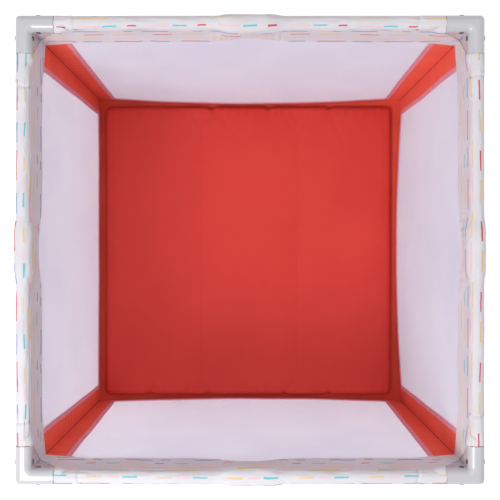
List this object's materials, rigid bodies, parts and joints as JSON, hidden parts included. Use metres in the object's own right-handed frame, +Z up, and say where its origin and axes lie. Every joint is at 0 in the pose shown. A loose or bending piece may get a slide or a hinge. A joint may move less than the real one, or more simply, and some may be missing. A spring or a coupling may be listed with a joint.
{
  "type": "playpen",
  "caption": "Square folding playpen with tube frame, folding padded top rails, mesh sides, corner posts and a folding floor mat.",
  "frame": {"origin": "on the floor, under the middle of the pen", "axes": "+Z up, -Y towards the front side, +X to the right"},
  "size_m": [1.014, 1.014, 0.7633],
  "materials": {
    "white_plastic": "glossy moulded plastic",
    "foot_plastic": "satin moulded plastic",
    "grey_plastic": "satin moulded plastic",
    "handle_plastic": "satin moulded plastic",
    "painted_tube": "powder coat on steel tube",
    "rivet_steel": "zinc plated steel",
    "printed_fabric": "woven fabric printed with rows of short coloured dashes",
    "red_fabric": "woven fabric",
    "mesh_fabric": "fine knitted mesh",
    "mat_fabric": "woven fabric over padded boards"
  },
  "bodies": {
    "leg_front_left": {"corner_bracket_front_left": "white_plastic", "post_front_left": "painted_tube", "foot_front_left": "foot_plastic", "pivot_rivets_front_left": "rivet_steel", "corner_cover_front_left": "red_fabric", "side_panel_front": "mesh_fabric"},
    "arm_front_left": {"base_arm_front_left": "painted_tube"},
    "leg_front_right": {"corner_bracket_front_right": "white_plastic", "post_front_right": "painted_tube", "foot_front_right": "foot_plastic", "pivot_rivets_front_right": "rivet_steel", "corner_cover_front_right": "red_fabric", "side_panel_right": "mesh_fabric"},
    "arm_front_right": {"base_arm_front_right": "painted_tube"},
    "leg_back_right": {"corner_bracket_back_right": "white_plastic", "post_back_right": "painted_tube", "foot_back_right": "foot_plastic", "pivot_rivets_back_right": "rivet_steel", "corner_cover_back_right": "red_fabric", "side_panel_back": "mesh_fabric"},
    "arm_back_right": {"base_arm_back_right": "painted_tube"},
    "leg_back_left": {"corner_bracket_back_left": "white_plastic", "post_back_left": "painted_tube", "foot_back_left": "foot_plastic", "pivot_rivets_back_left": "rivet_steel", "corner_cover_back_left": "red_fabric", "side_panel_left": "mesh_fabric"},
    "arm_back_left": {"base_arm_back_left": "painted_tube"},
    "hub": {"hub_base": "grey_plastic", "hub_cover": "grey_plastic", "hub_pins": "rivet_steel", "floor_cloth": "red_fabric"},
    "handle": {"hub_handle": "handle_plastic"},
    "mat": {"mat_panel_centre": "mat_fabric"},
    "mat_left": {"mat_panel_left": "mat_fabric"},
    "mat_right": {"mat_panel_right": "mat_fabric"},
    "rail_front_left": {"rail_tube_front_left": "painted_tube"},
    "rail_front_right": {"rail_tube_front_right": "painted_tube"},
    "latch_front": {"latch_housing_front": "grey_plastic", "latch_rivets_front": "rivet_steel", "rail_sleeve_front": "printed_fabric"},
    "button_front": {"latch_button_front": "handle_plastic"},
    "rail_right_front": {"rail_tube_right_front": "painted_tube"},
    "rail_right_back": {"rail_tube_right_back": "painted_tube"},
    "latch_right": {"latch_housing_right": "grey_plastic", "latch_rivets_right": "rivet_steel", "rail_sleeve_right": "printed_fabric"},
    "button_right": {"latch_button_right": "handle_plastic"},
    "rail_back_right": {"rail_tube_back_right": "painted_tube"},
    "rail_back_left": {"rail_tube_back_left": "painted_tube"},
    "latch_back": {"latch_housing_back": "grey_plastic", "latch_rivets_back": "rivet_steel", "rail_sleeve_back": "printed_fabric"},
    "button_back": {"latch_button_back": "handle_plastic"},
    "rail_left_back": {"rail_tube_left_back": "painted_tube"},
    "rail_left_front": {"rail_tube_left_front": "painted_tube"},
    "latch_left": {"latch_housing_left": "grey_plastic", "latch_rivets_left": "rivet_steel", "rail_sleeve_left": "printed_fabric"},
    "button_left": {"latch_button_left": "handle_plastic"}
  },
  "joints": [
    {"name": "frame_fold", "type": "hinge", "parent": "leg_front_left", "child": "arm_front_left", "pos_m": [-0.45372, -0.45372, 0.035], "axis": [0.7071, -0.7071, 0], "range_deg": [0, 85], "deforming": ["floor_cloth", "mat_panel_left", "mat_panel_centre", "mat_panel_right", "rail_sleeve_front", "rail_sleeve_right", "rail_sleeve_back", "rail_sleeve_left", "side_panel_front", "side_panel_right", "side_panel_back", "side_panel_left"]},
    {"name": "hub_pivot_front_left", "type": "hinge", "parent": "arm_front_left", "child": "hub", "pos_m": [-0.03172, -0.03172, 0.035], "axis": [0.7071, -0.7071, 0], "range_deg": [-85, 0]},
    {"name": "hub_pivot_front_right", "type": "hinge", "parent": "hub", "child": "arm_front_right", "pos_m": [0.03172, -0.03172, 0.035], "axis": [0.7071, 0.7071, 0], "range_deg": [0, 85]},
    {"name": "foot_pivot_front_right", "type": "hinge", "parent": "arm_front_right", "child": "leg_front_right", "pos_m": [0.45372, -0.45372, 0.035], "axis": [0.7071, 0.7071, 0], "range_deg": [-85, 0]},
    {"name": "hub_pivot_back_right", "type": "hinge", "parent": "hub", "child": "arm_back_right", "pos_m": [0.03172, 0.03172, 0.035], "axis": [-0.7071, 0.7071, 0], "range_deg": [0, 85]},
    {"name": "foot_pivot_back_right", "type": "hinge", "parent": "arm_back_right", "child": "leg_back_right", "pos_m": [0.45372, 0.45372, 0.035], "axis": [-0.7071, 0.7071, 0], "range_deg": [-85, 0]},
    {"name": "hub_pivot_back_left", "type": "hinge", "parent": "hub", "child": "arm_back_left", "pos_m": [-0.03172, 0.03172, 0.035], "axis": [-0.7071, -0.7071, 0], "range_deg": [0, 85]},
    {"name": "foot_pivot_back_left", "type": "hinge", "parent": "arm_back_left", "child": "leg_back_left", "pos_m": [-0.45372, 0.45372, 0.035], "axis": [-0.7071, -0.7071, 0], "range_deg": [-85, 0]},
    {"name": "rail_pivot_front_left", "type": "hinge", "parent": "leg_front_left", "child": "rail_front_left", "pos_m": [-0.452, -0.482, 0.742], "axis": [0, 1, 0], "range_deg": [0, 85]},
    {"name": "latch_pivot_front", "type": "hinge", "parent": "rail_front_left", "child": "latch_front", "pos_m": [-0.03, -0.482, 0.742], "axis": [0, 1, 0], "range_deg": [-85, 0]},
    {"name": "rail_pivot_front_right", "type": "hinge", "parent": "leg_front_right", "child": "rail_front_right", "pos_m": [0.452, -0.482, 0.742], "axis": [0, -1, 0], "range_deg": [0, 85]},
    {"name": "latch_release_front", "type": "slide", "parent": "latch_front", "child": "button_front", "axis": [0, 0, 1], "range_m": [0, 0.004], "stiffness_N_per_m": 400, "springref_m": -0.002},
    {"name": "rail_pivot_right_front", "type": "hinge", "parent": "leg_front_right", "child": "rail_right_front", "pos_m": [0.482, -0.452, 0.742], "axis": [-1, 0, 0], "range_deg": [0, 85]},
    {"name": "latch_pivot_right", "type": "hinge", "parent": "rail_right_front", "child": "latch_right", "pos_m": [0.482, -0.03, 0.742], "axis": [-1, 0, 0], "range_deg": [-85, 0]},
    {"name": "rail_pivot_right_back", "type": "hinge", "parent": "leg_back_right", "child": "rail_right_back", "pos_m": [0.482, 0.452, 0.742], "axis": [1, 0, 0], "range_deg": [0, 85]},
    {"name": "latch_release_right", "type": "slide", "parent": "latch_right", "child": "button_right", "axis": [0, 0, 1], "range_m": [0, 0.004], "stiffness_N_per_m": 400, "springref_m": -0.002},
    {"name": "rail_pivot_back_right", "type": "hinge", "parent": "leg_back_right", "child": "rail_back_right", "pos_m": [0.452, 0.482, 0.742], "axis": [0, -1, 0], "range_deg": [0, 85]},
    {"name": "latch_pivot_back", "type": "hinge", "parent": "rail_back_right", "child": "latch_back", "pos_m": [0.03, 0.482, 0.742], "axis": [0, -1, 0], "range_deg": [-85, 0]},
    {"name": "rail_pivot_back_left", "type": "hinge", "parent": "leg_back_left", "child": "rail_back_left", "pos_m": [-0.452, 0.482, 0.742], "axis": [0, 1, 0], "range_deg": [0, 85]},
    {"name": "latch_release_back", "type": "slide", "parent": "latch_back", "child": "button_back", "axis": [0, 0, 1], "range_m": [0, 0.004], "stiffness_N_per_m": 400, "springref_m": -0.002},
    {"name": "rail_pivot_left_back", "type": "hinge", "parent": "leg_back_left", "child": "rail_left_back", "pos_m": [-0.482, 0.452, 0.742], "axis": [1, 0, 0], "range_deg": [0, 85]},
    {"name": "latch_pivot_left", "type": "hinge", "parent": "rail_left_back", "child": "latch_left", "pos_m": [-0.482, 0.03, 0.742], "axis": [1, 0, 0], "range_deg": [-85, 0]},
    {"name": "rail_pivot_left_front", "type": "hinge", "parent": "leg_front_left", "child": "rail_left_front", "pos_m": [-0.482, -0.452, 0.742], "axis": [-1, 0, 0], "range_deg": [0, 85]},
    {"name": "latch_release_left", "type": "slide", "parent": "latch_left", "child": "button_left", "axis": [0, 0, 1], "range_m": [0, 0.004], "stiffness_N_per_m": 400, "springref_m": -0.002},
    {"name": "handle_lift", "type": "hinge", "parent": "hub", "child": "handle", "pos_m": [0, -0.015, 0.047], "axis": [1, 0, 0], "range_deg": [0, 85]},
    {"name": "mat_lift", "type": "slide", "parent": "hub", "child": "mat", "axis": [0, 0, 1], "range_m": [0, 0.128]},
    {"name": "mat_fold_left", "type": "hinge", "parent": "mat", "child": "mat_left", "pos_m": [-0.143, 0, 0.08], "axis": [0, 1, 0], "range_deg": [0, 170]},
    {"name": "mat_fold_right", "type": "hinge", "parent": "mat", "child": "mat_right", "pos_m": [0.143, 0, 0.08], "axis": [0, -1, 0], "range_deg": [0, 90]}
  ],
  "couplings": [
    {"joint": "hub_pivot_front_left", "follows": "frame_fold", "ratio": -1},
    {"joint": "hub_pivot_front_right", "follows": "frame_fold", "ratio": 1},
    {"joint": "foot_pivot_front_right", "follows": "frame_fold", "ratio": -1},
    {"joint": "hub_pivot_back_right", "follows": "frame_fold", "ratio": 1},
    {"joint": "foot_pivot_back_right", "follows": "frame_fold", "ratio": -1},
    {"joint": "hub_pivot_back_left", "follows": "frame_fold", "ratio": 1},
    {"joint": "foot_pivot_back_left", "follows": "frame_fold", "ratio": -1},
    {"joint": "rail_pivot_front_left", "follows": "frame_fold", "ratio": 1},
    {"joint": "latch_pivot_front", "follows": "frame_fold", "ratio": -1},
    {"joint": "rail_pivot_front_right", "follows": "frame_fold", "ratio": 1},
    {"joint": "rail_pivot_right_front", "follows": "frame_fold", "ratio": 1},
    {"joint": "latch_pivot_right", "follows": "frame_fold", "ratio": -1},
    {"joint": "rail_pivot_right_back", "follows": "frame_fold", "ratio": 1},
    {"joint": "rail_pivot_back_right", "follows": "frame_fold", "ratio": 1},
    {"joint": "latch_pivot_back", "follows": "frame_fold", "ratio": -1},
    {"joint": "rail_pivot_back_left", "follows": "frame_fold", "ratio": 1},
    {"joint": "rail_pivot_left_back", "follows": "frame_fold", "ratio": 1},
    {"joint": "latch_pivot_left", "follows": "frame_fold", "ratio": -1},
    {"joint": "rail_pivot_left_front", "follows": "frame_fold", "ratio": 1},
    {"joint": "handle_lift", "follows": "frame_fold", "ratio": 1},
    {"joint": "mat_lift", "follows": "frame_fold", "m_per_rad": 0.086274}
  ]
}
